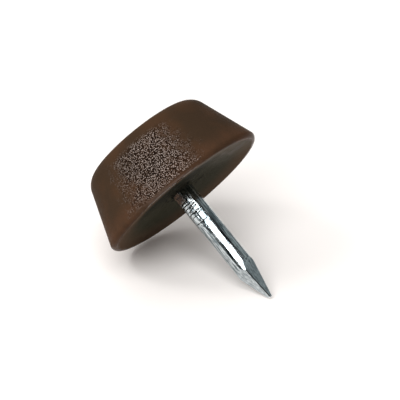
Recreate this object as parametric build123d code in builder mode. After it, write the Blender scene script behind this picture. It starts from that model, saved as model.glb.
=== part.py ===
from build123d import *
import math
import os

# A nail-on furniture glide: a moulded plastic head with a wire nail set into it.
# It stands on its bearing face at z = 0, with the nail pointing up along +Z.
# The mould fills the space round the nail, so the head's cavity is the nail itself.
# Lengths are in millimetres and angles in degrees.

# Head: outside
head_diameter = 25.0  # over the rounded rim, the widest place
head_height = 10.0  # bearing face to rim land
wall_draft = 19.4  # the side wall's lean away from the axis
bearing_edge_radius = 2.5
rim_radius = 0.6

# Head: the shallow dish on the nail's side
rim_land_width = 0.5
dish_depth = 0.9  # at the nail's axis, below the rim land

# Head: the low collar moulded round the nail's root
collar_width = 0.3
collar_height = 0.3
collar_taper = 30.0

# Nail: a cold-headed wire nail
nail_exposed = 18.5  # rim land to the nail's tip
nail_head_cover = 3.5  # plastic between the bearing face and the nail's head
shank_diameter = 3.1
nail_head_diameter = 7.0
nail_head_thickness = 0.9
nail_head_bevel = 0.2
under_head_cone = 0.9  # height of the cone between the nail's head and the shank

# Nail: the stretch squeezed by the gripping dies, and the marks of their teeth
grip_swell = 0.03  # how far the squeezed stretch stands proud of the shank
grip_swell_end = 5.4  # its end, measured from the rim land
grip_swell_run_out = 0.8
grip_azimuth = -45.0  # the middle of one row of marks; the other row is opposite
grip_pitch = 0.5
grip_depth = 0.1
grip_tooth_width = 0.26
grip_half_arc = 52.0  # how far round each mark runs, to each side of its middle
grip_last_mark = 3.25  # the last of the even marks, measured from the rim land
grip_end_mark = 4.5  # the edge of the dies leaves one more mark here
grip_first_gap = 0.3  # clear wire between the collar and the first mark

# Nail: the pinched four-sided point
point_length = 4.7  # from where its corners leave the shank to the blunt tip
point_skew = 0.6  # how much longer the facets are on the side that the tip leans to
point_facet_top = 1.35  # from the top of a facet to where its corners leave the shank
point_run_in = 0.7  # the steep start of a facet, from its top along the wire
point_tip_width = 0.48  # across the blunt tip's flats
point_lean = 0.14  # the tip stands this far off the wire's axis
point_lean_azimuth = 180.0
point_first_facet = 45.0
point_facets = 4
tip_edge_radius = 0.08
facet_clearance = 0.3  # how far the point's cutters reach past the wire and the tip

# Worked-out places of the head
half_corner = math.radians((90.0 + wall_draft) / 2)
rim_centre_radius = head_diameter / 2 - rim_radius
rim_corner_radius = rim_centre_radius + rim_radius * math.tan(half_corner)
foot_corner_radius = rim_corner_radius - head_height * math.tan(math.radians(wall_draft))
dish_radius = rim_centre_radius - rim_land_width
dish_floor_z = head_height - dish_depth
dish_ball_radius = (dish_radius**2 + dish_depth**2) / (2 * dish_depth)

# Worked-out places of the nail, and of the collar round it
shank_radius = shank_diameter / 2
grip_radius = shank_radius + grip_swell
collar_radius = grip_radius + collar_width
collar_top_z = dish_floor_z + collar_height
tip_z = head_height + nail_exposed
nail_head_top_z = nail_head_cover + nail_head_thickness
shank_start_z = nail_head_top_z + under_head_cone
grip_swell_end_z = head_height + grip_swell_end


def grip_ring():
    """Gives the radius of a tooth's ring, and how far its axis stands behind the wire's.

    The ring's inner edge reaches grip_depth into the wire at the middle of a mark, and runs out
    of the wire grip_half_arc to each side of it.
    """
    bottom = grip_radius - grip_depth
    edge = grip_radius * math.cos(math.radians(grip_half_arc))
    setback = (grip_radius**2 - bottom**2) / (2 * (bottom - edge))
    return bottom + setback, setback


def grip_heights():
    """Lists the heights of the marks in one row, from the far end down to the collar."""
    heights = [head_height + grip_end_mark]
    height = head_height + grip_last_mark
    while height >= collar_top_z + grip_first_gap:
        heights.append(height)
        height -= grip_pitch
    return heights


def facet_profile(azimuth):
    """Lists a facet's profile from the blunt tip back, as distances from the axis and heights.

    A long flat runs back from the tip, and a short steep one leads out of the wire.
    """
    toward_lean = math.cos(math.radians(point_lean_azimuth - azimuth))
    length = point_length + point_skew * toward_lean
    tip_distance = point_tip_width / 2 + point_lean * toward_lean
    slope = (shank_radius * math.cos(math.pi / point_facets) - tip_distance) / length
    top_z = tip_z - length - point_facet_top
    meeting_z = top_z + point_run_in
    meeting_distance = tip_distance + slope * (tip_z - meeting_z)
    steep_slope = (shank_radius - meeting_distance) / point_run_in
    outside = shank_radius + facet_clearance
    return [
        (tip_distance - slope * facet_clearance, tip_z + facet_clearance),
        (meeting_distance, meeting_z),
        (outside, top_z - facet_clearance / steep_slope),
        (outside, tip_z + facet_clearance),
    ]


# One tooth of the gripping dies, as the ring that its edge sweeps
ring_radius, ring_setback = grip_ring()
tooth_reach = 2 * grip_depth
tooth_half_width = grip_tooth_width / 2 * tooth_reach / grip_depth
with BuildPart() as grip_tooth:
    with BuildSketch(Plane.XZ):
        with BuildLine():
            Polyline(
                (ring_radius, 0),
                (ring_radius + tooth_reach, tooth_half_width),
                (ring_radius + tooth_reach, -tooth_half_width),
                close=True,
            )
        make_face()
    revolve(axis=Axis.Z)

# The nail
with BuildPart() as nail:
    with BuildSketch(Plane.XZ):
        with BuildLine():
            Polyline(
                (0, nail_head_cover),
                (nail_head_diameter / 2, nail_head_cover),
                (nail_head_diameter / 2, nail_head_top_z),
                (grip_radius, shank_start_z),
                (grip_radius, grip_swell_end_z),
                (shank_radius, grip_swell_end_z + grip_swell_run_out),
                (shank_radius, tip_z),
                (0, tip_z),
                close=True,
            )
        make_face()
    revolve(axis=Axis.Z)
    nail_head_edges = nail.edges().filter_by(GeomType.CIRCLE).sort_by(Axis.Z)[:2]
    chamfer(nail_head_edges, length=nail_head_bevel)
    for azimuth in (grip_azimuth, grip_azimuth + 180.0):
        back_x = -ring_setback * math.cos(math.radians(azimuth))
        back_y = -ring_setback * math.sin(math.radians(azimuth))
        with Locations([(back_x, back_y, height) for height in grip_heights()]):
            add(grip_tooth.part, mode=Mode.SUBTRACT)
    for number in range(point_facets):
        azimuth = point_first_facet + number * 360.0 / point_facets
        outward = (math.cos(math.radians(azimuth)), math.sin(math.radians(azimuth)), 0)
        sideways = (outward[1], -outward[0], 0)
        with BuildSketch(Plane(origin=(0, 0, 0), x_dir=outward, z_dir=sideways)):
            Polygon(*facet_profile(azimuth), align=None)
        extrude(amount=2 * shank_radius, both=True, mode=Mode.SUBTRACT)
    tip_face = nail.faces().sort_by(Axis.Z)[-1]
    fillet(tip_face.edges(), radius=tip_edge_radius)
nail.part.label = "nail"

# The head
with BuildPart() as glide_head:
    # the tapered blank
    with BuildSketch(Plane.XZ):
        with BuildLine():
            Polyline(
                (0, 0),
                (foot_corner_radius, 0),
                (rim_corner_radius, head_height),
                (0, head_height),
                close=True,
            )
        make_face()
    revolve(axis=Axis.Z)
    fillet(glide_head.edges().sort_by(Axis.Z)[0], radius=bearing_edge_radius)
    fillet(glide_head.edges().sort_by(Axis.Z)[-1], radius=rim_radius)
    # the dish, a shallow bowl
    with Locations((0, 0, dish_floor_z + dish_ball_radius)):
        Sphere(dish_ball_radius, mode=Mode.SUBTRACT)
    # the collar
    with BuildSketch(Plane.XY.offset(dish_floor_z)):
        Circle(collar_radius)
    extrude(amount=collar_height, taper=collar_taper)
    # the nail's place
    add(nail.part, mode=Mode.SUBTRACT)
glide_head.part.label = "glide_head"

os.makedirs("parts", exist_ok=True)
for piece in (glide_head, nail):
    export_step(piece.part, f"parts/{piece.part.label}.step")
    print(piece.part.label, "volume", round(piece.part.volume, 1), "mm3")
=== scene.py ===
"""A nail-on furniture glide: a tapered brown plastic head moulded round a bright wire nail.

The glide stands on its bearing face at z = 0 with the nail pointing up along +Z. Lengths in the
classes are millimetres and angles are degrees, as on a drawing, and become metres and radians
where a mesh, a lamp or the camera is made.
"""

import logging
import math
from dataclasses import dataclass, field
from enum import Enum
from typing import ClassVar, Optional

import bmesh
import bpy
from mathutils import Matrix, Vector, noise


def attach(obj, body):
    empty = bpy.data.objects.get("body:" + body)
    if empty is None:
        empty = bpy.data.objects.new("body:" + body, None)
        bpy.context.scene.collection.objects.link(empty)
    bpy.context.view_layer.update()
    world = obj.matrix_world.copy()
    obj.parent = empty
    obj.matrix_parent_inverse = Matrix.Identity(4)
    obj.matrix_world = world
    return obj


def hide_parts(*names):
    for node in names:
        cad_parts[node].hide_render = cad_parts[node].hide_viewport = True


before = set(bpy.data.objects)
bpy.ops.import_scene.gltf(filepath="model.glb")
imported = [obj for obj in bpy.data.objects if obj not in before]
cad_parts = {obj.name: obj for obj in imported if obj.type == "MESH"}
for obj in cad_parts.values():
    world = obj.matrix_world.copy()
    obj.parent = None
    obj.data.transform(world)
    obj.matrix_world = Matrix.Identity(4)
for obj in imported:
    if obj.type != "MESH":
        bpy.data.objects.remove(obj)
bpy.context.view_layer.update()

MM = 0.001
TINY = 1e-6
MERGE_DISTANCE = 1e-7
MOST_ROUNDED = 0.9  # the largest share of a side that a corner's rounding takes
LOG = logging.getLogger("glide")

Colour = tuple[float, float, float]
Span = tuple[float, float]
Socket = bpy.types.NodeSocket

# the range that nearly all of a noise pattern's values lie in, and the middle of it
WIDE: Span = (0.3, 0.7)
MIDDLE: Span = (0.35, 0.65)


class Slot(Enum):
    """The record's material slots."""

    PLASTIC = "head_plastic"
    STEEL = "nail_steel"


# ---------------------------------------------------------------------------------------------
# Node helpers
# ---------------------------------------------------------------------------------------------


class Shading:
    """A node tree with short ways to add the nodes that the finishes use.

    SPACING is how far each node lies from the one before it in the node editor.
    """

    SPACING: ClassVar[tuple[int, int]] = (40, -12)

    def __init__(self, tree: bpy.types.NodeTree) -> None:
        """Keeps the tree.

        Args:
            tree: the tree that the nodes go into.
        """
        self.tree = tree
        self.step = 0

    def add(self, kind: str, **settings: object) -> bpy.types.Node:
        """Adds a node and sets its options.

        Args:
            kind: the node's type name.
            **settings: the options to set on it.

        Returns:
            The new node.
        """
        node = self.tree.nodes.new(kind)
        node.location = (self.step * self.SPACING[0], self.step * self.SPACING[1])
        self.step += 1
        for name, value in settings.items():
            setattr(node, name, value)
        return node

    def link(self, source: Socket, target: Socket) -> None:
        """Joins two sockets."""
        self.tree.links.new(source, target)

    def feed(self, target: Socket, value: object) -> None:
        """Gives a socket a plain value or another socket's output.

        Args:
            target: the socket to fill.
            value: a number, a tuple, or an output socket.
        """
        if isinstance(value, Socket):
            self.link(value, target)
        else:
            target.default_value = value

    def math(self, operation: str, *values: object, clamp: bool = False) -> Socket:
        """Works a Math node.

        Args:
            operation: the node's operation.
            *values: its inputs, as numbers or sockets.
            clamp: whether the result is kept between 0 and 1.

        Returns:
            The result's socket.
        """
        node = self.add("ShaderNodeMath", operation=operation, use_clamp=clamp)
        for target, value in zip(node.inputs, values):
            self.feed(target, value)
        return node.outputs[0]

    def times(self, first: object, *others: object) -> Socket:
        """Multiplies values.

        Args:
            first: a number or socket.
            *others: what it is multiplied by.

        Returns:
            The product's socket.
        """
        product = first
        for other in others:
            product = self.math("MULTIPLY", product, other)
        return product

    def rest(self, share: object) -> Socket:
        """Gives what a share leaves of 1."""
        return self.math("SUBTRACT", 1.0, share)

    def ramp(self, value: object, low: float, high: float, start: float = 0.0, end: float = 1.0,
             smooth: bool = True) -> Socket:
        """Maps a value's range onto another, smoothly, and holds the ends.

        Args:
            value: the number or socket to map.
            low: where the range starts.
            high: where it ends.
            start: the result at low.
            end: the result at high.
            smooth: whether the ends are eased.

        Returns:
            The result's socket.
        """
        easing = "SMOOTHSTEP" if smooth else "LINEAR"
        node = self.add("ShaderNodeMapRange", interpolation_type=easing)
        for target, number in zip(node.inputs, (value, low, high, start, end)):
            self.feed(target, number)
        return node.outputs["Result"]

    def span(self, value: object, ends: Span, start: float = 0.0, end: float = 1.0) -> Socket:
        """Maps a range given in millimetres, as ramp does.

        Args:
            value: the number or socket to map, in metres.
            ends: where the range starts and ends, in millimetres.
            start: the result at its start.
            end: the result at its end.

        Returns:
            The result's socket.
        """
        return self.ramp(value, ends[0] * MM, ends[1] * MM, start, end)

    def blend(self, share: object, first: object, second: object) -> Socket:
        """Mixes two numbers.

        Args:
            share: how much of the second, from 0 to 1.
            first: a number or socket.
            second: the other one.

        Returns:
            The mixed number's socket.
        """
        node = self.add("ShaderNodeMix", data_type="FLOAT")
        self.feed(node.inputs[0], share)
        self.feed(node.inputs[2], first)
        self.feed(node.inputs[3], second)
        return node.outputs[0]

    def mix(self, share: object, first: object, second: object) -> Socket:
        """Mixes two colours.

        Args:
            share: how much of the second, from 0 to 1.
            first: a colour of four numbers, or a socket.
            second: the other colour.

        Returns:
            The mixed colour's socket.
        """
        node = self.add("ShaderNodeMix", data_type="RGBA")
        self.feed(node.inputs[0], share)
        self.feed(node.inputs[6], first)
        self.feed(node.inputs[7], second)
        return node.outputs[2]

    def place(self, scale: tuple[float, float, float] = (1.0, 1.0, 1.0)) -> Socket:
        """Gives the piece's own coordinates, stretched.

        Args:
            scale: what they are multiplied by along each axis.

        Returns:
            The coordinates' socket.
        """
        own = self.add("ShaderNodeTexCoord")
        mapping = self.add("ShaderNodeMapping")
        self.link(own.outputs["Object"], mapping.inputs["Vector"])
        mapping.inputs["Scale"].default_value = scale
        return mapping.outputs["Vector"]

    def axes(self, where: Socket) -> tuple[Socket, Socket, Socket]:
        """Splits coordinates into their X, Y and Z."""
        node = self.add("ShaderNodeSeparateXYZ")
        self.link(where, node.inputs[0])
        return node.outputs["X"], node.outputs["Y"], node.outputs["Z"]

    def facing(self, bearing: Socket, azimuth: float) -> Socket:
        """Gives 1 on an azimuth's side of the axis, falling to -1 opposite.

        Args:
            bearing: the place's bearing in radians.
            azimuth: the azimuth in degrees.

        Returns:
            The cosine of the angle between them.
        """
        turned = self.math("SUBTRACT", bearing, math.radians(azimuth))
        return self.math("COSINE", turned)

    def grain(self, where: Socket, size: float, detail: float = 2.0,
              roughness: float = 0.5) -> Socket:
        """Adds a noise pattern whose lumps are about a given size.

        Args:
            where: the coordinates it follows.
            size: the lumps' size in millimetres.
            detail: how many finer layers it has.
            roughness: how strong they are.

        Returns:
            The pattern's value, around 0.5.
        """
        node = self.add("ShaderNodeTexNoise")
        self.link(where, node.inputs["Vector"])
        node.inputs["Scale"].default_value = 1.0 / (size * MM)
        node.inputs["Detail"].default_value = detail
        node.inputs["Roughness"].default_value = roughness
        return node.outputs["Fac"]

    def cells(self, where: Socket, size: float) -> Socket:
        """Adds a cellular pattern, as the distance from the nearest cell's middle.

        Args:
            where: the coordinates it follows.
            size: the cells' size in millimetres.

        Returns:
            The distance, as a share of the cells' size.
        """
        node = self.add("ShaderNodeTexVoronoi", feature="F1", distance="EUCLIDEAN")
        self.link(where, node.inputs["Vector"])
        node.inputs["Scale"].default_value = 1.0 / (size * MM)
        return node.outputs["Distance"]

    def bump(self, height: Socket, depth: float, strength: object = 1.0,
             onto: Optional[Socket] = None) -> Socket:
        """Bumps the surface by a height pattern.

        Args:
            height: the pattern, from 0 to 1.
            depth: its full height in millimetres.
            strength: the share of it that is used, as a number or socket.
            onto: an earlier bump's normal, which this one adds to.

        Returns:
            The bumped normal's socket.
        """
        node = self.add("ShaderNodeBump")
        self.link(height, node.inputs["Height"])
        node.inputs["Distance"].default_value = depth * MM
        self.feed(node.inputs["Strength"], strength)
        if onto is not None:
            self.link(onto, node.inputs["Normal"])
        return node.outputs["Normal"]


def opaque(colour: Colour) -> tuple[float, float, float, float]:
    """Gives a colour its alpha of 1."""
    return (*colour, 1.0)


def blank_material(name: str) -> tuple[bpy.types.Material, Shading, bpy.types.Node]:
    """Makes a material with one Principled shader.

    Args:
        name: the material's name.

    Returns:
        The material, its tree's helper and the shader's node.
    """
    material = bpy.data.materials.new(name)
    material.use_nodes = True
    shading = Shading(material.node_tree)
    material.node_tree.nodes.clear()
    output = shading.add("ShaderNodeOutputMaterial")
    shader = shading.add("ShaderNodeBsdfPrincipled")
    shading.link(shader.outputs["BSDF"], output.inputs["Surface"])
    return material, shading, shader


# ---------------------------------------------------------------------------------------------
# Finishes
# ---------------------------------------------------------------------------------------------


@dataclass(frozen=True)
class HeadZones:
    """The sockets that say where on the head a place lies, and what the grain does there."""

    own: Socket
    radius: Socket
    bearing: Socket
    height: Socket
    on_wall: Socket
    off_wall: Socket
    in_dish: Socket
    out_of_dish: Socket
    near_gloss: Socket
    ragged: Socket
    patch: Socket
    cell: Socket
    tops: Socket


@dataclass(frozen=True)
class GrainedPlastic:
    """Dark brown moulded plastic, spark-grained on its side wall and smooth in its dish.

    Sizes, depths and spans are in millimetres and azimuths in degrees. A span's ends are heights
    on the wall and distances from the axis in the dish.
    """

    # the wall's colours: the moulding's brown, painted shade for the grain's pits and the tint of
    # the gloss
    base: Colour = (0.056, 0.030, 0.0165)
    grey: Colour = (0.043, 0.026, 0.0155)
    warm: Colour = (0.068, 0.034, 0.0190)
    pit_shade: Colour = (0.011, 0.006, 0.0045)
    sheen: Colour = (1.0, 0.86, 0.80)
    drift_size: float = 5.0
    warmth_size: float = 2.2
    warm_rise: Span = (6.5, 9.0)
    wall_end: Span = (9.3, 9.8)

    # the grain, as cells stirred by a noise
    grain_size: float = 0.185
    grain_depth: float = 0.12
    flat_grain: float = 0.25
    stir_size: float = 0.5
    stir: float = 0.18
    top_cells: Span = (0.47, 0.30)
    pit_shade_cells: Span = (0.48, 0.62)
    wave_size: float = 1.4
    wave_depth: float = 0.03
    wave_strength: float = 0.6

    # the glossier patches round the wall
    gloss_azimuth: float = -85.0
    gloss_patches: int = 3
    far_patch_loss: float = 0.5
    patch_edge_size: float = 1.2
    patch_edge: float = 0.5
    patch_reach: Span = (-0.35, 1.0)
    patch_foot: Span = (1.3, 2.6)
    patch_top: Span = (8.2, 9.3)
    patch_top_share: float = 0.8
    matt_specular: float = 0.003
    patch_specular: float = 2.1

    # the rim, shinier next to the patches
    rim_specular: float = 0.004
    near_rim_specular: float = 0.35
    rim_reach: Span = (0.0, 1.1)
    rim_roughness: float = 0.12

    # the wall's roughness, more polished on the grain's tops
    roughness: float = 0.32
    pit_roughness: float = 0.10
    top_polish: float = 0.04
    wear_size: float = 1.6
    wear: Span = (-0.03, 0.05)

    # the dish: greyer, paler to its edge, painted sheen on one side, specks and painted shade by
    # the nail
    dish: Colour = (0.040, 0.037, 0.025)
    dish_edge: Colour = (0.086, 0.055, 0.035)
    scuffed_sheen: Colour = (0.105, 0.093, 0.078)
    speck_and_shade: Colour = (0.008, 0.008, 0.007)
    dish_end: Span = (11.4, 11.9)
    dish_floor: Span = (8.4, 8.6)
    dish_paling: Span = (7.0, 11.6)
    scuffed_sheen_azimuth: float = -150.0
    scuffed_sheen_side: Span = (0.5, 0.95)
    scuffed_sheen_span: Span = (4.0, 9.0)
    scuff_size: float = 0.5
    scuff_stretch: float = 0.35
    scuff_least: float = 0.35
    speck_size: float = 0.6
    speck_lumps: Span = (0.52, 0.62)
    speck_span: Span = (5.0, 2.4)
    painted_shade: float = 0.65
    painted_shade_side: Span = (0.2, 0.95)
    painted_shade_span: Span = (10.2, 7.5)
    dish_specular: float = 0.003
    dish_roughness: float = 0.5
    dish_cloud_size: float = 0.8
    dish_cloud: Span = (-0.05, 0.05)

    def zones(self, sh: Shading) -> HeadZones:
        """Finds the head's zones, its glossy patches and its grain.

        Args:
            sh: the material's helper.

        Returns:
            Their sockets.
        """
        own = sh.place()
        x, y, height = sh.axes(own)
        radius = sh.math("SQRT", sh.math("MULTIPLY_ADD", y, y, sh.times(x, x)))
        bearing = sh.math("ARCTAN2", y, x)
        on_wall = sh.span(height, self.wall_end, 1.0, 0.0)
        in_dish = sh.rest(sh.span(radius, self.dish_end))
        in_dish = sh.times(in_dish, sh.span(height, self.dish_floor))

        # the patches' wave round the wall, weaker away from the first patch
        turned = sh.math("SUBTRACT", bearing, math.radians(self.gloss_azimuth))
        wave = sh.math("COSINE", sh.times(turned, float(self.gloss_patches)))
        near_gloss = sh.math("COSINE", turned)
        fainter = sh.math("SUBTRACT", near_gloss, 1.0)
        wave = sh.math("MULTIPLY_ADD", fainter, self.far_patch_loss, wave)
        edge = sh.grain(own, self.patch_edge_size, 4.0, 0.7)
        edge = sh.ramp(edge, *WIDE, -self.patch_edge, self.patch_edge, False)
        ragged = sh.math("ADD", wave, edge)
        patch = sh.times(
            sh.ramp(ragged, *self.patch_reach),
            on_wall,
            sh.span(height, self.patch_foot),
            sh.span(height, self.patch_top, 1.0, self.patch_top_share),
        )

        stir = sh.times(sh.grain(own, self.stir_size, 2.0), self.stir)
        stir = sh.math("SUBTRACT", stir, self.stir / 2)
        cell = sh.math("ADD", sh.cells(own, self.grain_size), stir)
        return HeadZones(
            own=own,
            radius=radius,
            bearing=bearing,
            height=height,
            on_wall=on_wall,
            off_wall=sh.rest(on_wall),
            in_dish=in_dish,
            out_of_dish=sh.rest(in_dish),
            near_gloss=near_gloss,
            ragged=ragged,
            patch=patch,
            cell=cell,
            tops=sh.ramp(cell, *self.top_cells),
        )

    def wall_colour(self, sh: Shading, zones: HeadZones) -> Socket:
        """Colours the wall: slow drifts of brown, warmer near the rim, with painted shade in the
        grain's pits.

        Args:
            sh: the material's helper.
            zones: the head's zones.

        Returns:
            The colour's socket.
        """
        drift = sh.ramp(sh.grain(zones.own, self.drift_size, 2.0), *MIDDLE)
        colour = sh.mix(drift, opaque(self.base), opaque(self.grey))
        uneven = sh.ramp(sh.grain(zones.own, self.warmth_size, 3.0), *WIDE, 0.4, 1.0)
        warmth = sh.times(sh.span(zones.height, self.warm_rise), uneven)
        colour = sh.mix(warmth, colour, opaque(self.warm))
        # painted shade: the grain's pits darkened, only in the glossy patches
        pits = sh.times(sh.ramp(zones.cell, *self.pit_shade_cells), zones.patch)
        return sh.mix(pits, colour, opaque(self.pit_shade))

    def dish_colour(self, sh: Shading, zones: HeadZones) -> Socket:
        """Colours the dish, with a painted sheen streaked by scuffs on one side, dark specks
        round the nail, and painted shade round the nail on the side towards the first glossy
        patch.

        Args:
            sh: the material's helper.
            zones: the head's zones.

        Returns:
            The colour's socket.
        """
        paling = sh.span(zones.radius, self.dish_paling)
        colour = sh.mix(paling, opaque(self.dish), opaque(self.dish_edge))
        stretched = sh.place(scale=(self.scuff_stretch, self.scuff_stretch, 1.0))
        scuffs = sh.grain(stretched, self.scuff_size, 3.0, 0.6)
        # painted sheen: a paler grey patch on one side of the dish, streaked by the scuffs
        scuffed_sheen = sh.times(
            sh.ramp(sh.facing(zones.bearing, self.scuffed_sheen_azimuth), *self.scuffed_sheen_side),
            sh.span(zones.radius, self.scuffed_sheen_span),
            sh.ramp(scuffs, *MIDDLE, self.scuff_least, 1.0),
        )
        colour = sh.mix(scuffed_sheen, colour, opaque(self.scuffed_sheen))
        specks = sh.ramp(sh.grain(zones.own, self.speck_size, 2.0), *self.speck_lumps)
        specks = sh.times(specks, sh.span(zones.radius, self.speck_span))
        # painted shade: darker round the nail on the side towards the first glossy patch; the
        # specks share its dark colour
        painted_shade = sh.ramp(zones.near_gloss, *self.painted_shade_side, 0.0, self.painted_shade)
        painted_shade = sh.times(painted_shade, sh.span(zones.radius, self.painted_shade_span))
        return sh.mix(sh.math("MAXIMUM", specks, painted_shade), colour, opaque(self.speck_and_shade))

    def roughnesses(self, sh: Shading, zones: HeadZones) -> Socket:
        """Gives the wall's, the rim's and the dish's roughness.

        Args:
            sh: the material's helper.
            zones: the head's zones.

        Returns:
            The roughness's socket.
        """
        rough_pit = self.roughness + self.pit_roughness
        smooth_top = self.roughness - self.top_polish
        wear = sh.ramp(sh.grain(zones.own, self.wear_size, 3.0, 0.6), *WIDE, *self.wear)
        wall = sh.math("ADD", sh.ramp(zones.tops, 0.0, 1.0, rough_pit, smooth_top), wear)
        wall = sh.times(wall, zones.on_wall)
        wall = sh.math("ADD", wall, sh.times(zones.off_wall, self.rim_roughness))
        cloud = sh.grain(zones.own, self.dish_cloud_size, 3.0, 0.6)
        dish = sh.math("ADD", sh.ramp(cloud, *WIDE, *self.dish_cloud), self.dish_roughness)
        return sh.blend(zones.out_of_dish, dish, wall)

    def relief(self, sh: Shading, zones: HeadZones) -> Socket:
        """Bumps the surface by slow waves and the wall's grain.

        Args:
            sh: the material's helper.
            zones: the head's zones.

        Returns:
            The bumped normal's socket.
        """
        waves = sh.grain(zones.own, self.wave_size, 2.0)
        coarse = sh.bump(waves, self.wave_depth, self.wave_strength)
        lumps = sh.rest(sh.times(zones.cell, zones.cell))
        deep = sh.ramp(zones.patch, 0.0, 1.0, self.flat_grain, 1.0, False)
        return sh.bump(lumps, self.grain_depth, sh.times(deep, zones.on_wall), coarse)

    def shine(self, sh: Shading, zones: HeadZones) -> Socket:
        """Gives the specular level: strong on the grain's tops in the patches, faint elsewhere.

        Args:
            sh: the material's helper.
            zones: the head's zones.

        Returns:
            The level's socket.
        """
        levels = (self.matt_specular, self.patch_specular)
        wall = sh.ramp(sh.times(zones.patch, zones.tops), 0.0, 1.0, *levels, False)
        rim = sh.ramp(zones.ragged, *self.rim_reach, self.rim_specular, self.near_rim_specular)
        on_rim = sh.times(zones.off_wall, zones.out_of_dish)
        outside = sh.times(sh.math("MULTIPLY_ADD", on_rim, rim, wall), zones.out_of_dish)
        return sh.math("MULTIPLY_ADD", zones.in_dish, self.dish_specular, outside)

    def material(self) -> bpy.types.Material:
        """Builds the material.

        Returns:
            The plastic's material.
        """
        material, sh, shader = blank_material("grained_brown_plastic")
        zones = self.zones(sh)
        wall, dish = self.wall_colour(sh, zones), self.dish_colour(sh, zones)
        sh.link(sh.mix(zones.in_dish, wall, dish), shader.inputs["Base Color"])
        sh.link(self.roughnesses(sh, zones), shader.inputs["Roughness"])
        sh.link(self.relief(sh, zones), shader.inputs["Normal"])
        sh.link(self.shine(sh, zones), shader.inputs["Specular IOR Level"])
        shader.inputs["Specular Tint"].default_value = opaque(self.sheen)
        shader.inputs["IOR"].default_value = 1.5
        return material


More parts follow.
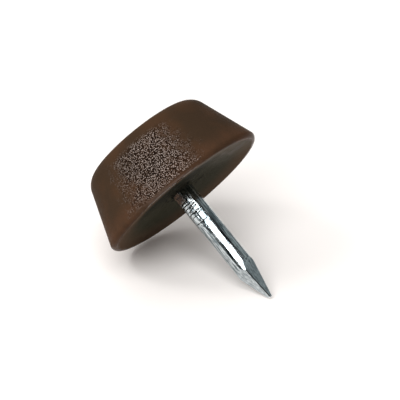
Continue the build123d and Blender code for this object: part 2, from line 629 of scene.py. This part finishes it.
@dataclass(frozen=True)
class BrightZinc:
    """Bright zinc plate on drawn steel wire, with lengthwise draw lines and fine pitting.

    Sizes, depths and spans are in millimetres and azimuths in degrees. A span's ends are heights.
    A stretch is the share of a pattern's steps that is left along the wire.
    """

    base: Colour = (0.60, 0.655, 0.675)
    dull: Colour = (0.155, 0.19, 0.205)
    roughness: float = 0.11

    # the draw lines and the cloudy plate
    line_size: float = 0.29
    line_stretch: float = 0.09
    line_share: float = 0.85
    line_tones: Span = (0.42, 0.55)
    line_roughness: Span = (-0.06, 0.08)
    line_depth: float = 0.014
    cloud_size: float = 0.9
    cloud_roughness: Span = (-0.04, 0.06)
    pit_size: float = 0.25
    pit_depth: float = 0.008

    # the pinched point: calmer and paler towards its tip, with a painted highlight at the tip's
    # end
    point_start: Span = (22.6, 23.8)
    point_size: float = 0.2
    point_stretch: float = 0.2
    point_tones: Span = (0.36, 0.64)
    point_tints: Span = (0.16, 0.88)
    point_relief: float = 0.25
    paling: Span = (24.0, 28.0)
    paling_share: float = 0.14
    painted_tip_highlight: Span = (28.25, 28.37)
    tip_highlight: Colour = (0.80, 0.82, 0.84)

    # a painted reflection of the brown plastic on one side of the root, as a ragged non-metal
    # patch
    painted_reflection: Colour = (0.13, 0.075, 0.048)
    painted_reflection_dark: Colour = (0.03, 0.02, 0.015)
    painted_reflection_azimuth: float = -10.0
    painted_reflection_top: Span = (11.7, 11.5)
    painted_reflection_side: Span = (1.10, 1.25)
    painted_reflection_tones: Span = (0.48, 0.56)
    painted_reflection_roughness: float = 0.4
    blotch_size: float = 0.28
    blotch_spread: float = 1.4

    def plate_colour(self, sh: Shading, lines: Socket, cloud: Socket, height: Socket) -> Socket:
        """Colours the plate.

        Args:
            sh: the material's helper.
            lines: the draw lines' pattern.
            cloud: the cloudy pattern.
            height: the place's height.

        Returns:
            The colour's socket.
        """
        drawn = sh.times(lines, self.line_share)
        cloudy = sh.times(cloud, 1.0 - self.line_share)
        wire = sh.ramp(sh.math("ADD", drawn, cloudy), *self.line_tones)
        stretched = sh.place(scale=(1.0, 1.0, self.point_stretch))
        pinched = sh.grain(stretched, self.point_size, 3.0, 0.7)
        pinched = sh.ramp(pinched, *self.point_tones, *self.point_tints)
        tint = sh.blend(sh.span(height, self.point_start), wire, pinched)
        paler = sh.span(height, self.paling, 0.0, self.paling_share)
        tint = sh.math("ADD", tint, paler, clamp=True)
        colour = sh.mix(tint, opaque(self.dull), opaque(self.base))
        # painted highlight: the last fraction of a millimetre before the tip turns near white
        return sh.mix(sh.span(height, self.painted_tip_highlight), colour, opaque(self.tip_highlight))

    def painted_reflection_share(self, sh: Shading, blotches: Socket) -> Socket:
        """Finds the painted reflection of the brown plastic, with its ragged edges.

        Args:
            sh: the material's helper.
            blotches: the painted reflection's own pattern.

        Returns:
            Its share of the surface at a place.
        """
        x, y, height = sh.axes(sh.place())
        side = sh.facing(sh.math("ARCTAN2", y, x), self.painted_reflection_azimuth)
        side = sh.math("MULTIPLY_ADD", blotches, self.blotch_spread, side)
        top = sh.math("MULTIPLY_ADD", blotches, self.blotch_spread * MM, height)
        return sh.times(sh.span(top, self.painted_reflection_top), sh.ramp(side, *self.painted_reflection_side))

    def material(self) -> bpy.types.Material:
        """Builds the material.

        Returns:
            The plated steel's material.
        """
        material, sh, shader = blank_material("bright_zinc_wire")
        own = sh.place()
        height = sh.axes(own)[2]
        drawn = sh.place(scale=(1.0, 1.0, self.line_stretch))
        lines = sh.grain(drawn, self.line_size, 3.0, 0.65)
        cloud = sh.grain(own, self.cloud_size, 3.0, 0.6)
        blotches = sh.grain(own, self.blotch_size, 3.0, 0.6)
        # painted reflection of the brown plastic on the wire by its root
        painted_reflection = self.painted_reflection_share(sh, blotches)

        plate = self.plate_colour(sh, lines, cloud, height)
        # the painted reflection is a brown non-metal in two tones
        tones = sh.ramp(blotches, *self.painted_reflection_tones)
        plastic = sh.mix(tones, opaque(self.painted_reflection), opaque(self.painted_reflection_dark))
        sh.link(sh.mix(painted_reflection, plate, plastic), shader.inputs["Base Color"])
        sh.link(sh.rest(painted_reflection), shader.inputs["Metallic"])

        smooth, rough = (self.roughness + step for step in self.cloud_roughness)
        cloudy = sh.ramp(cloud, *WIDE, smooth, rough)
        plate_roughness = sh.math("ADD", sh.ramp(lines, *WIDE, *self.line_roughness), cloudy)
        roughness = sh.math("MULTIPLY_ADD", painted_reflection, self.painted_reflection_roughness, plate_roughness)
        sh.link(roughness, shader.inputs["Roughness"])

        on_point = sh.span(height, self.point_start)
        line_relief = sh.ramp(on_point, 0.0, 1.0, 1.0, self.point_relief, False)
        drawn_bump = sh.bump(lines, self.line_depth, line_relief)
        pits = sh.bump(sh.grain(own, self.pit_size, 2.0), self.pit_depth, 1.0, drawn_bump)
        sh.link(pits, shader.inputs["Normal"])
        return material


# ---------------------------------------------------------------------------------------------
# Mesh helpers
# ---------------------------------------------------------------------------------------------


@dataclass(frozen=True)
class Corner:
    """One corner of a half section, as radius and height, with its rounding."""

    r: float
    z: float
    rounding: float = 0.0
    steps: int = 1

    def place(self) -> Vector:
        """Gives the corner's place in the XZ plane, in millimetres."""
        return Vector((self.r, 0.0, self.z))


class HalfSection:
    """Draws a half section in the XZ plane as short edges and spins it into a skin."""

    def __init__(self, mesh: bmesh.types.BMesh) -> None:
        """Keeps the bmesh.

        Args:
            mesh: the bmesh that the section is drawn in.
        """
        self.mesh = mesh

    def line(self, start: Vector, end: Vector, spacing: float) -> None:
        """Draws a straight stretch.

        Args:
            start: where it starts, in millimetres.
            end: where it ends.
            spacing: its longest edge.
        """
        if (end - start).length < TINY:
            return
        edge = self.mesh.edges.new([self.mesh.verts.new(place * MM) for place in (start, end)])
        cuts = math.ceil((end - start).length / spacing) - 1
        if cuts > 0:
            bmesh.ops.subdivide_edges(self.mesh, edges=[edge], cuts=cuts)

    def arc(self, start: Vector, centre: Vector, angle: float, steps: int) -> None:
        """Draws an arc by spinning its first point.

        Args:
            start: where it starts, in millimetres.
            centre: the arc's centre.
            angle: the turn about the Y axis, in radians.
            steps: its number of edges.
        """
        first = self.mesh.verts.new(start * MM)
        bmesh.ops.spin(
            self.mesh,
            geom=[first],
            cent=centre * MM,
            axis=(0, 1, 0),
            dvec=(0, 0, 0),
            angle=angle,
            space=Matrix.Identity(4),
            steps=steps,
            use_merge=False,
            use_normal_flip=False,
            use_duplicate=False,
        )

    def draw(self, corners: list[Corner], spacing: float) -> None:
        """Draws a chain of stretches with its corners rounded.

        Args:
            corners: the chain's corners in order.
            spacing: the longest edge of a straight stretch, in millimetres.
        """
        pen = corners[0].place()
        for before, corner, after in zip(corners, corners[1:], corners[2:]):
            here = corner.place()
            inward = (before.place() - here).normalized()
            outward = (after.place() - here).normalized()
            half = inward.angle(outward) / 2
            setback = corner.rounding / math.tan(half)
            start, end = here + inward * setback, here + outward * setback
            self.line(pen, start, spacing)
            if corner.rounding > 0.0:
                centre = here + (inward + outward).normalized() * corner.rounding / math.sin(half)
                side = (start - centre).cross(end - centre).y
                self.arc(start, centre, math.copysign(math.pi - 2 * half, side), corner.steps)
            pen = end
        self.line(pen, corners[-1].place(), spacing)

    def spin(self, segments: int) -> None:
        """Spins the section about Z into a closed skin, with its poles merged.

        Args:
            segments: the steps of the full turn.
        """
        bmesh.ops.remove_doubles(self.mesh, verts=self.mesh.verts, dist=MERGE_DISTANCE)
        bmesh.ops.spin(
            self.mesh,
            geom=list(self.mesh.verts) + list(self.mesh.edges),
            cent=(0, 0, 0),
            axis=(0, 0, 1),
            dvec=(0, 0, 0),
            angle=math.tau,
            space=Matrix.Identity(4),
            steps=segments,
            use_merge=True,
            use_normal_flip=False,
            use_duplicate=False,
        )
        bmesh.ops.remove_doubles(self.mesh, verts=self.mesh.verts, dist=MERGE_DISTANCE)
        loose = [vertex for vertex in self.mesh.verts if not vertex.link_faces]
        bmesh.ops.delete(self.mesh, geom=loose, context="VERTS")
        bmesh.ops.recalc_face_normals(self.mesh, faces=self.mesh.faces)


def finished_piece(
    name: str,
    mesh: bmesh.types.BMesh,
    material: bpy.types.Material,
    node: str,
) -> bpy.types.Object:
    """Turns a bmesh into a piece of the glide that stands for its CAD node.

    Args:
        name: the piece's name.
        mesh: the bmesh, in metres; it is freed.
        material: the piece's material.
        node: the CAD node that it replaces.

    Returns:
        The piece's object.
    """
    bmesh.ops.recalc_face_normals(mesh, faces=mesh.faces)
    data = bpy.data.meshes.new(name)
    for face in mesh.faces:
        face.smooth = True
    mesh.to_mesh(data)
    mesh.free()
    data.materials.append(material)
    piece = bpy.data.objects.new(name, data)
    bpy.context.scene.collection.objects.link(piece)
    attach(piece, "root")
    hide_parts(node)
    return piece


# ---------------------------------------------------------------------------------------------
# The glide
# ---------------------------------------------------------------------------------------------


def off_row(azimuth: float, row: float) -> float:
    """Gives how far round a bearing is from the nearer of two opposite rows.

    Args:
        azimuth: the bearing in degrees.
        row: the bearing of one row, in degrees.

    Returns:
        The angle in degrees, from -90 to 90.
    """
    return (azimuth - row + 90.0) % 180.0 - 90.0


@dataclass(frozen=True)
class DieMark:
    """One bite of the gripping dies across the wire, on both of its sides.

    The half arc and azimuth are in degrees, and the slant is the rise in millimetres from the
    mark's middle to its end on the far side. FULLNESS sets how far round the wire a mark keeps
    its full depth. Wear makes it deeper in one place and shallower in another: WEAR_ARC is about
    how long such a place is, in degrees, and WEAR_STEP makes each mark's wear its own.
    """

    FULLNESS: ClassVar[int] = 4
    NARROWEST: ClassVar[float] = 0.3
    WEAR_MEAN: ClassVar[float] = 0.62
    WEAR_SPREAD: ClassVar[float] = 1.1
    WEAR_ARC: ClassVar[float] = 14.0
    WEAR_STEP: ClassVar[float] = 3.1

    height: float
    azimuth: float
    half_arc: float
    depth: float
    width: float
    slant: float

    def bite(self, azimuth: float, height: float) -> float:
        """Gives how deep the mark is at a place on the wire.

        Args:
            azimuth: the place's bearing in degrees.
            height: the place's height in millimetres.

        Returns:
            The depth in millimetres.
        """
        away = off_row(azimuth, self.azimuth) / self.half_arc
        reach = 1.0 - away**self.FULLNESS
        if reach <= 0.0:
            return 0.0
        off = abs(height - self.height - self.slant * away)
        half_width = self.width / 2 * max(reach, self.NARROWEST)
        seed = Vector((azimuth / self.WEAR_ARC, self.height * self.WEAR_STEP, 0.0))
        wear = max(0.0, self.WEAR_MEAN + self.WEAR_SPREAD * noise.noise(seed))
        return self.depth * reach * wear * max(0.0, 1.0 - off / half_width)


@dataclass(frozen=True)
class WireWear:
    """The dents that the dies leave between their marks, and the wire's draw lines.

    Sizes, depths and heights are in millimetres and the angles are in degrees. The dents run out
    towards top_z, and are faint in the quiet stretch below quiet_z. A stretch is the share of a
    pattern's steps that is left along the wire.
    """

    azimuth: float = -45.0
    half_arc: float = 75.0
    dent_depth: float = 0.09
    dent_size: float = 0.42
    dent_stretch: float = 0.55
    dent_layers: int = 3
    top_z: float = 16.6
    top_fade: float = 2.0
    quiet_z: float = 11.0
    quiet_fade: float = 0.8
    quiet_share: float = 0.1
    line_depth: float = 0.004
    line_size: float = 0.30
    line_stretch: float = 0.11
    line_offset: float = 0.6

    def depth(self, place: Vector, azimuth: float) -> float:
        """Gives how deep the wire is worn at a place.

        Args:
            place: the place in metres.
            azimuth: its bearing in degrees.

        Returns:
            The depth in millimetres, below zero where the wire stands proud.
        """
        height = place.z / MM
        fade = max(0.0, 1.0 - abs(off_row(azimuth, self.azimuth)) / self.half_arc)
        fade *= min(1.0, max(0.0, (self.top_z - height) / self.top_fade))
        fade *= min(1.0, max(self.quiet_share, (height - self.quiet_z) / self.quiet_fade))
        seed = Vector((place.x, place.y, place.z * self.dent_stretch)) / (self.dent_size * MM)
        dents = noise.fractal(seed, 1.0, 2.0, self.dent_layers)
        size = self.line_size * MM
        lines = noise.noise(Vector((place.x / size, place.y / size, height * self.line_stretch)))
        dented = self.dent_depth * fade * max(0.0, dents)
        return dented + self.line_depth * (lines + self.line_offset)


@dataclass
class WireNail:
    """The cold-headed wire nail, with die marks near its head and a pinched four-sided point.

    Sizes and heights are in millimetres and angles in degrees. A spacing is the longest edge
    along that part of the wire.
    """

    finish: BrightZinc = field(default_factory=BrightZinc)

    # the head inside the plastic, and the wire
    tip_z: float = 28.5
    head_z: float = 3.5
    head_top_z: float = 4.4
    head_radius: float = 3.5
    head_bevel: float = 0.2
    shank_start_z: float = 5.3
    shank_radius: float = 1.55
    grip_radius: float = 1.58

    # what the gripping dies leave on the wire
    marks_start_z: float = 8.8
    swell_end_z: float = 15.4
    swell_run_out: float = 0.8
    marks: tuple[DieMark, ...] = (
        DieMark(14.5, -58.0, 46.0, 0.10, 0.26, -0.12),
        DieMark(13.35, -62.0, 50.0, 0.11, 0.24, 0.10),
        DieMark(12.85, -60.0, 54.0, 0.13, 0.28, -0.08),
        DieMark(12.3, -66.0, 46.0, 0.12, 0.22, 0.12),
        DieMark(11.85, -58.0, 54.0, 0.13, 0.28, 0.0),
        DieMark(11.4, -52.0, 46.0, 0.08, 0.24, -0.10),
        DieMark(10.9, -45.0, 40.0, 0.03, 0.26, 0.06),
        DieMark(10.4, -45.0, 40.0, 0.015, 0.26, 0.0),
    )
    wear: WireWear = WireWear()
    pressed_from_z: float = 8.6
    tip_margin: float = 0.01
    core_radius: float = 1.0

    # the pinched point
    point_length: float = 4.7
    point_skew: float = 0.6
    point_facet_top: float = 1.35
    point_run_in: float = 0.7
    point_tip_width: float = 0.48
    point_lean: float = 0.14
    point_lean_azimuth: float = 180.0
    point_first_facet: float = 45.0
    point_facets: int = 4
    corner_rounding: float = 0.20
    tip_rounding: float = 0.13
    point_core: float = 0.1
    crisp_angle: float = 8.0
    crisp_margins: Span = (0.1, 0.2)

    # the mesh
    head_spacing: float = 1.0
    mark_spacing: float = 0.045
    run_out_spacing: float = 0.08
    shank_spacing: float = 0.15
    point_spacing: float = 0.05
    tip_spacing: float = 0.015
    segments: int = 192

    @property
    def point_start_z(self) -> float:
        """Gives the height where the lowest facet starts."""
        return self.tip_z - self.point_length - self.point_skew - self.point_facet_top

    def draw_section(self, section: HalfSection) -> None:
        """Draws the nail's half section from its head's middle to its tip.

        Args:
            section: the half section's pen.
        """
        edge, bevel = self.head_radius, self.head_bevel
        run_end = self.swell_end_z + self.swell_run_out
        section.draw(
            [
                Corner(0.0, self.head_z),
                Corner(edge - bevel, self.head_z),
                Corner(edge, self.head_z + bevel),
                Corner(edge, self.head_top_z - bevel),
                Corner(edge - bevel, self.head_top_z),
                Corner(self.grip_radius, self.shank_start_z),
                Corner(self.grip_radius, self.marks_start_z),
            ],
            self.head_spacing,
        )
        stretches = (
            (self.grip_radius, self.swell_end_z, self.mark_spacing),
            (self.shank_radius, run_end, self.run_out_spacing),
            (self.shank_radius, self.point_start_z, self.shank_spacing),
            (self.shank_radius, self.tip_z - self.tip_rounding, self.point_spacing),
            (self.shank_radius, self.tip_z, self.tip_spacing),
            (0.0, self.tip_z, self.shank_radius * 2),
        )
        start = Corner(self.grip_radius, self.marks_start_z)
        for radius, height, spacing in stretches:
            end = Corner(radius, height)
            section.draw([start, end], spacing)
            start = end

    def facet_distance(self, number: int, height: float) -> float:
        """Gives how far one facet of the point stands from the axis.

        Args:
            number: the facet's number.
            height: the height in millimetres.

        Returns:
            The distance, which is the shank's radius or more below the facet.
        """
        azimuth = self.point_first_facet + number * 360.0 / self.point_facets
        toward_lean = math.cos(math.radians(self.point_lean_azimuth - azimuth))
        length = self.point_length + self.point_skew * toward_lean
        tip = self.point_tip_width / 2 + self.point_lean * toward_lean
        slope = (self.shank_radius * math.cos(math.pi / self.point_facets) - tip) / length
        flat = tip + slope * (self.tip_z - height)
        top_z = self.tip_z - length - self.point_facet_top
        meeting = tip + slope * (self.tip_z - top_z - self.point_run_in)
        steep_slope = (self.shank_radius - meeting) / self.point_run_in
        return max(flat, self.shank_radius - (height - top_z) * steep_slope)

    def press_marks(self, mesh: bmesh.types.BMesh) -> None:
        """Presses the die marks, the dents between them and the draw lines into the wire.

        Args:
            mesh: the spun nail.
        """
        for vertex in mesh.verts:
            radius = vertex.co.xy.length
            height = vertex.co.z / MM
            on_wire = self.pressed_from_z <= height <= self.tip_z - self.tip_margin
            if not on_wire or radius < self.core_radius * MM:
                continue
            azimuth = math.degrees(math.atan2(vertex.co.y, vertex.co.x))
            depth = max(mark.bite(azimuth, height) for mark in self.marks)
            depth = max(depth + self.wear.depth(vertex.co, azimuth), 0.0)
            scale = (radius - depth * MM) / radius
            vertex.co.x *= scale
            vertex.co.y *= scale

    def point_radius(self, azimuth: float, height: float) -> float:
        """Gives the point's radius, with its corners and its blunt end rounded.

        Args:
            azimuth: the bearing in degrees.
            height: the height in millimetres.

        Returns:
            The radius in millimetres.
        """
        above = max(0.0, height - self.tip_z + self.tip_rounding)
        drawn_in = self.tip_rounding - math.sqrt(max(0.0, self.tip_rounding**2 - above**2))
        turn = 360.0 / self.point_facets
        quarter = math.floor((azimuth - self.point_first_facet) / turn)
        angle = math.radians(azimuth - self.point_first_facet - quarter * turn)
        first = self.facet_distance(quarter % self.point_facets, height) - drawn_in
        second = self.facet_distance((quarter + 1) % self.point_facets, height) - drawn_in
        facing = Vector((math.cos(angle), math.sin(angle)))
        radius = min(first / max(facing.x, TINY), second / max(facing.y, TINY))
        rounding = min(self.corner_rounding, MOST_ROUNDED * first, MOST_ROUNDED * second)
        middle = Vector((first - rounding, second - rounding))
        reach = facing.dot(middle)
        within = reach**2 - middle.length_squared + rounding**2
        if within > 0.0:
            place = facing * (reach + math.sqrt(within))
            if place.x > middle.x and place.y > middle.y:
                radius = min(radius, place.length)
        return radius

    def pinch_point(self, mesh: bmesh.types.BMesh) -> None:
        """Draws the point's rings in to its facets and keeps the facets' tops crisp.

        Args:
            mesh: the nail with its marks.
        """
        for vertex in mesh.verts:
            height = min(vertex.co.z / MM, self.tip_z)
            radius = vertex.co.xy.length / MM
            if height <= self.point_start_z or radius < self.point_core:
                continue
            angle = math.atan2(vertex.co.y, vertex.co.x)
            radius = min(radius, self.point_radius(math.degrees(angle), height))
            vertex.co.x = radius * math.cos(angle) * MM
            vertex.co.y = radius * math.sin(angle) * MM
        mesh.normal_update()
        lowest = self.point_start_z - self.crisp_margins[0]
        highest = self.tip_z - self.point_length + self.crisp_margins[1]
        for edge in mesh.edges:
            low, high = sorted(vertex.co.z / MM for vertex in edge.verts)
            bend = edge.calc_face_angle(0.0)
            if low > lowest and high < highest and bend > math.radians(self.crisp_angle):
                edge.smooth = False

    def build(self) -> bpy.types.Object:
        """Builds the nail.

        Returns:
            The nail's object.
        """
        mesh = bmesh.new()
        section = HalfSection(mesh)
        self.draw_section(section)
        section.spin(self.segments)
        self.press_marks(mesh)
        self.pinch_point(mesh)
        return finished_piece("wire_nail", mesh, self.finish.material(), "nail")


@dataclass
class GlideHead:
    """The moulded head: a tapered wall, rounded edges, a rim land, a shallow dish and a collar.

    Sizes are in millimetres and angles in degrees. The steps are the edges along a rounding or
    an arc, and the spacing is the longest edge between them.
    """

    finish: GrainedPlastic = field(default_factory=GrainedPlastic)
    nail: WireNail = field(default_factory=WireNail)
    diameter: float = 25.0
    height: float = 10.0
    wall_draft: float = 19.4
    bearing_edge_radius: float = 2.5
    bearing_edge_steps: int = 24
    rim_radius: float = 0.6
    rim_steps: int = 16
    rim_land_width: float = 0.5
    dish_depth: float = 0.9
    dish_steps: int = 24
    collar_width: float = 0.3
    collar_height: float = 0.3
    collar_taper: float = 30.0
    collar_rounding: float = 0.03
    collar_steps: int = 3
    cavity_clearance: float = 0.004
    spacing: float = 0.35
    segments: int = 288

    def draw_section(self, section: HalfSection) -> None:
        """Draws the half section from the bearing face's middle round to the cavity's middle.

        Args:
            section: the half section's pen.
        """
        half = math.radians((90.0 + self.wall_draft) / 2)
        rim_centre = self.diameter / 2 - self.rim_radius
        rim = rim_centre + self.rim_radius * math.tan(half)
        foot = rim - self.height * math.tan(math.radians(self.wall_draft))
        dish = rim_centre - self.rim_land_width
        ball = (dish**2 + self.dish_depth**2) / (2 * self.dish_depth)
        dish_z = self.height - self.dish_depth
        ball_centre = Vector((0.0, 0.0, dish_z + ball))
        collar = self.nail.grip_radius + self.collar_width
        collar_z = ball_centre.z - math.sqrt(ball**2 - collar**2)
        collar_top_z = dish_z + self.collar_height
        collar_top = collar - self.collar_height * math.tan(math.radians(self.collar_taper))
        bore = self.nail.grip_radius + self.cavity_clearance
        pocket = self.nail.head_radius + self.cavity_clearance
        pocket_z = self.nail.head_z - self.cavity_clearance
        dish_edge = Corner(dish, self.height)
        section.draw(
            [
                Corner(0.0, 0.0),
                Corner(foot, 0.0, self.bearing_edge_radius, self.bearing_edge_steps),
                Corner(rim, self.height, self.rim_radius, self.rim_steps),
                dish_edge,
            ],
            self.spacing,
        )
        sweep = math.asin(dish / ball) - math.asin(collar / ball)
        section.arc(dish_edge.place(), ball_centre, sweep, self.dish_steps)
        section.draw(
            [
                Corner(collar, collar_z),
                Corner(collar_top, collar_top_z, self.collar_rounding, self.collar_steps),
                Corner(bore, collar_top_z),
                Corner(bore, self.nail.shank_start_z),
                Corner(pocket, self.nail.head_top_z),
                Corner(pocket, pocket_z),
                Corner(0.0, pocket_z),
            ],
            self.spacing,
        )

    def build(self) -> bpy.types.Object:
        """Builds the head.

        Returns:
            The head's object.
        """
        mesh = bmesh.new()
        section = HalfSection(mesh)
        self.draw_section(section)
        section.spin(self.segments)
        plastic = self.finish.material()
        return finished_piece("moulded_head", mesh, plastic, "glide_head")


# ---------------------------------------------------------------------------------------------
# Studio
# ---------------------------------------------------------------------------------------------


@dataclass(frozen=True)
class PhotographView:
    """The camera's place, as fitted to the head's outline.

    The distance, the aim and the lens are in millimetres, the angles in degrees, and the offset
    of the aim from the picture's middle in the picture's dots.
    """

    distance: float = 500.0
    elevation: float = 10.434
    roll: float = 140.816
    aim_height: float = 5.0
    lens: float = 327.528
    sensor: float = 36.0
    picture: float = 400.0
    offset: tuple[float, float] = (-37.12, -33.215)
    clip: tuple[float, float] = (10.0, 20000.0)

    def place(self) -> bpy.types.Object:
        """Makes the scene's camera.

        Returns:
            The camera's object.
        """
        rise, roll = math.radians(self.elevation), math.radians(self.roll)
        back = Vector((0.0, -math.cos(rise), math.sin(rise)))
        right = Vector((1.0, 0.0, 0.0))
        up = Vector((0.0, math.sin(rise), math.cos(rise)))
        rolled_right = right * math.cos(roll) + up * math.sin(roll)
        rolled_up = up * math.cos(roll) - right * math.sin(roll)
        straight = Matrix((rolled_right, rolled_up, back)).transposed()
        focal = self.lens / self.sensor * self.picture
        seen = Vector((self.offset[0], -self.offset[1], -focal)).normalized()
        swing = Vector((0.0, 0.0, -1.0)).rotation_difference(seen).to_matrix()
        turned = (straight @ swing.transposed()).to_4x4()
        eye = Vector((0.0, 0.0, self.aim_height)) + back * self.distance
        camera_data = bpy.data.cameras.new("camera")
        camera_data.lens = self.lens
        camera_data.sensor_width = self.sensor
        camera_data.clip_start = self.clip[0] * MM
        camera_data.clip_end = self.clip[1] * MM
        camera = bpy.data.objects.new("camera", camera_data)
        bpy.context.scene.collection.objects.link(camera)
        camera.matrix_world = Matrix.Translation(eye * MM) @ turned
        bpy.context.scene.camera = camera
        return camera


@dataclass(frozen=True)
class SoftBox:
    """A rectangular lamp that faces the glide.

    The azimuth is measured from the camera's side towards -X. Angles are in degrees, and the
    distance, the sizes and the height of the aim in millimetres.
    """

    name: str = "soft_box"
    azimuth: float = 5.0
    elevation: float = -13.0
    distance: float = 500.0
    width: float = 500.0
    height: float = 210.0
    aim_height: float = 10.0
    radiance: float = 6.6

    def place(self) -> bpy.types.Object:
        """Hangs the lamp.

        Returns:
            The lamp's object.
        """
        data = bpy.data.lights.new(self.name, "AREA")
        data.shape = "RECTANGLE"
        data.size = self.width * MM
        data.size_y = self.height * MM
        data.energy = self.radiance * math.pi * data.size * data.size_y
        lamp = bpy.data.objects.new(self.name, data)
        turn, rise = math.radians(self.azimuth), math.radians(self.elevation)
        level = Vector((-math.sin(turn), -math.cos(turn), 0.0)) * math.cos(rise)
        direction = level + Vector((0.0, 0.0, math.sin(rise)))
        aim = Vector((0.0, 0.0, self.aim_height))
        lamp.location = (direction * self.distance + aim) * MM
        lamp.rotation_euler = direction.to_track_quat("Z", "Y").to_euler()
        bpy.context.scene.collection.objects.link(lamp)
        return lamp


@dataclass(frozen=True)
class LyingFloor:
    """The pale floor that the glide lies on, on its rim and the tip of its nail.

    It is clear from behind, so that the glide shows from every side.
    """

    overhead: tuple[float, float, float] = (-0.541, -0.628, -0.560)
    half_size: float = 3000.0
    colour: Colour = (0.935, 0.900, 0.878)
    own_light: Colour = (0.05, 0.04, 0.035)

    def material(self) -> bpy.types.Material:
        """Builds the floor's material.

        Returns:
            The material.
        """
        material, sh, shader = blank_material("pale_floor")
        shader.inputs["Roughness"].default_value = 1.0
        shader.inputs["Specular IOR Level"].default_value = 0.0
        shader.inputs["Base Color"].default_value = opaque(self.colour)
        path = sh.add("ShaderNodeLightPath")
        seen = sh.math("MAXIMUM", path.outputs["Is Camera Ray"], path.outputs["Is Glossy Ray"])
        seen = sh.math("MAXIMUM", seen, path.outputs["Is Transmission Ray"])
        shader.inputs["Emission Color"].default_value = opaque(self.own_light)
        sh.link(seen, shader.inputs["Emission Strength"])
        clear = sh.add("ShaderNodeBsdfTransparent")
        mixed = sh.add("ShaderNodeMixShader")
        sh.link(sh.add("ShaderNodeNewGeometry").outputs["Backfacing"], mixed.inputs[0])
        sh.link(shader.outputs["BSDF"], mixed.inputs[1])
        sh.link(clear.outputs["BSDF"], mixed.inputs[2])
        output = next(node for node in material.node_tree.nodes if node.type == "OUTPUT_MATERIAL")
        sh.link(mixed.outputs[0], output.inputs["Surface"])
        return material

    def lay(self, glide: list[bpy.types.Object]) -> bpy.types.Object:
        """Lays the floor against the glide's lowest point.

        Args:
            glide: the glide's pieces.

        Returns:
            The floor's object.
        """
        up = Vector(self.overhead).normalized()
        lowest = min(up.dot(vertex.co) for piece in glide for vertex in piece.data.vertices)
        mesh = bmesh.new()
        bmesh.ops.create_grid(mesh, x_segments=1, y_segments=1, size=self.half_size * MM)
        tilt = up.to_track_quat("Z", "Y").to_matrix()
        bmesh.ops.rotate(mesh, verts=mesh.verts, cent=(0, 0, 0), matrix=tilt)
        bmesh.ops.translate(mesh, verts=mesh.verts, vec=up * lowest)
        data = bpy.data.meshes.new("floor")
        mesh.to_mesh(data)
        mesh.free()
        data.materials.append(self.material())
        floor = bpy.data.objects.new("floor", data)
        bpy.context.scene.collection.objects.link(floor)
        return floor


@dataclass(frozen=True)
class Tent:
    """The dim room round the glide, and a paler ceiling.

    The room is given as stops of azimuth in degrees, measured from the camera's side towards -X,
    and brightness. The ceiling starts where a direction's Z falls below ceiling_start.
    """

    stops: tuple[tuple[float, float], ...] = (
        (-180.0, 0.30),
        (-54.0, 0.30),
        (-47.0, 0.04),
        (56.0, 0.04),
        (74.0, 0.34),
        (115.0, 0.34),
        (135.0, 0.20),
        (180.0, 0.30),
    )
    tint: Colour = (0.90, 0.99, 1.0)
    backdrop: Colour = (1.0, 1.0, 1.0)
    ceiling: Colour = (0.95, 0.95, 0.94)
    ceiling_start: float = -0.30
    ceiling_full: float = -0.45

    def hang(self) -> None:
        """Makes the world: white to the camera and the dim room to all else."""
        world = bpy.data.worlds.new("tent")
        bpy.context.scene.world = world
        world.use_nodes = True
        sh = Shading(world.node_tree)
        world.node_tree.nodes.clear()
        output = sh.add("ShaderNodeOutputWorld")
        x, y, z = sh.axes(sh.add("ShaderNodeTexCoord").outputs["Generated"])
        bearing = sh.math("ARCTAN2", sh.times(x, -1.0), sh.times(y, -1.0))
        turn = sh.math("DIVIDE", bearing, math.tau)
        curve = sh.add("ShaderNodeValToRGB")
        sh.link(sh.math("ADD", turn, 0.5), curve.inputs[0])
        elements = curve.color_ramp.elements
        while len(elements) > 1:
            elements.remove(elements[-1])
        for number, (azimuth, level) in enumerate(self.stops):
            place = azimuth / 360.0 + 0.5
            element = elements[0] if number == 0 else elements.new(place)
            element.position = place
            element.color = opaque(tuple(level * share for share in self.tint))
        above = sh.ramp(z, self.ceiling_full, self.ceiling_start, 1.0, 0.0)
        room = sh.add("ShaderNodeBackground")
        sh.link(sh.mix(above, curve.outputs["Color"], opaque(self.ceiling)), room.inputs["Color"])
        white = sh.add("ShaderNodeBackground")
        white.inputs["Color"].default_value = opaque(self.backdrop)
        mixed = sh.add("ShaderNodeMixShader")
        sh.link(sh.add("ShaderNodeLightPath").outputs["Is Camera Ray"], mixed.inputs[0])
        sh.link(room.outputs[0], mixed.inputs[1])
        sh.link(white.outputs[0], mixed.inputs[2])
        sh.link(mixed.outputs[0], output.inputs["Surface"])


@dataclass(frozen=True)
class Studio:
    """The floor, the lamps and the room round the glide."""

    floor: LyingFloor = LyingFloor()
    lamps: tuple[SoftBox, ...] = (
        SoftBox(),
        SoftBox(
            name="bright_lamp",
            azimuth=-10.5,
            elevation=-49.0,
            width=120.0,
            height=120.0,
            radiance=10.0,
        ),
    )
    tent: Tent = Tent()

    def set_up(self, glide: list[bpy.types.Object]) -> None:
        """Builds the studio round the glide.

        Args:
            glide: the glide's pieces.
        """
        bpy.context.scene.view_settings.view_transform = "Standard"
        self.floor.lay(glide)
        for lamp in self.lamps:
            lamp.place()
        self.tent.hang()


def main() -> None:
    """Builds the nail, the head and the studio in order and reports each piece."""
    logging.basicConfig(level=logging.INFO, format="%(name)s: %(message)s")
    PhotographView().place()
    nail = WireNail()
    glide = [nail.build(), GlideHead(nail=nail).build()]
    for piece in glide:
        counts = len(piece.data.vertices), len(piece.data.polygons)
        LOG.info("%s: %d vertices, %d faces", piece.name, *counts)
    Studio().set_up(glide)


if __name__ == "__main__":
    main()
